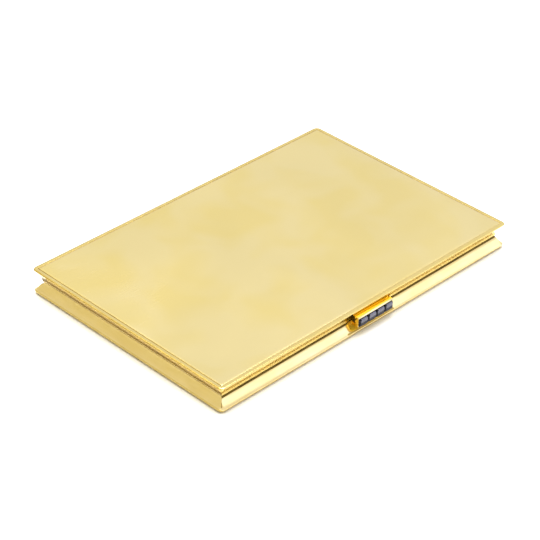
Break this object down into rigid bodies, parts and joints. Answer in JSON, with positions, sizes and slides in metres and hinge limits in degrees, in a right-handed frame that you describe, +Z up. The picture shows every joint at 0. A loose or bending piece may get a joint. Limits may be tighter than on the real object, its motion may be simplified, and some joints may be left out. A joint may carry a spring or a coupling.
{
  "type": "hinged pocket case",
  "caption": "Slim rectangular polished yellow-metal pocket case with coved sides, a hinged lid and a push thumbpiece set with dark blue stones.",
  "frame": {"origin": "middle of the flat underside of the closed case", "axes": "+X along the long side, -Y towards the thumbpiece, +Y towards the hinge, +Z up out of the lid"},
  "size_m": [0.127, 0.0862, 0.0091],
  "materials": {
    "polished_gold": "polished",
    "satin_gold": "satin",
    "spring_steel": "satin",
    "sapphire": "polished"
  },
  "bodies": {
    "case_base": {"base_plate": "polished_gold", "base_wall_front": "polished_gold", "base_wall_back": "polished_gold", "base_wall_left": "polished_gold", "base_wall_right": "polished_gold", "bezel_front": "satin_gold", "bezel_left": "satin_gold", "bezel_right": "satin_gold", "base_knuckle_1": "polished_gold", "base_knuckle_2": "polished_gold", "base_knuckle_3": "polished_gold", "base_knuckle_4": "polished_gold", "hinge_pin": "spring_steel", "catch_cover": "satin_gold", "cover_screw_left": "spring_steel", "cover_screw_right": "spring_steel", "return_spring": "spring_steel"},
    "lid": {"lid_plate": "polished_gold", "lid_wall_front": "polished_gold", "lid_wall_back": "polished_gold", "lid_wall_left": "polished_gold", "lid_wall_right": "polished_gold", "lid_knuckle_1": "polished_gold", "lid_knuckle_2": "polished_gold", "lid_knuckle_3": "polished_gold", "keeper_plate": "satin_gold"},
    "thumbpiece": {"thumb_bar": "polished_gold", "stone_1": "sapphire", "stone_2": "sapphire", "stone_3": "sapphire", "stone_4": "sapphire", "catch_blade": "spring_steel"}
  },
  "joints": [
    {"name": "lid_hinge", "type": "hinge", "parent": "case_base", "child": "lid", "pos_m": [0, 0.0406, 0.00422], "axis": [-1, 0, 0], "range_deg": [0, 118]},
    {"name": "thumbpiece_push", "type": "slide", "parent": "case_base", "child": "thumbpiece", "axis": [0, 1, 0], "range_m": [0, 0.0008], "stiffness_N_per_m": 900, "springref_m": -0.0008, "deforming": ["return_spring"]}
  ]
}
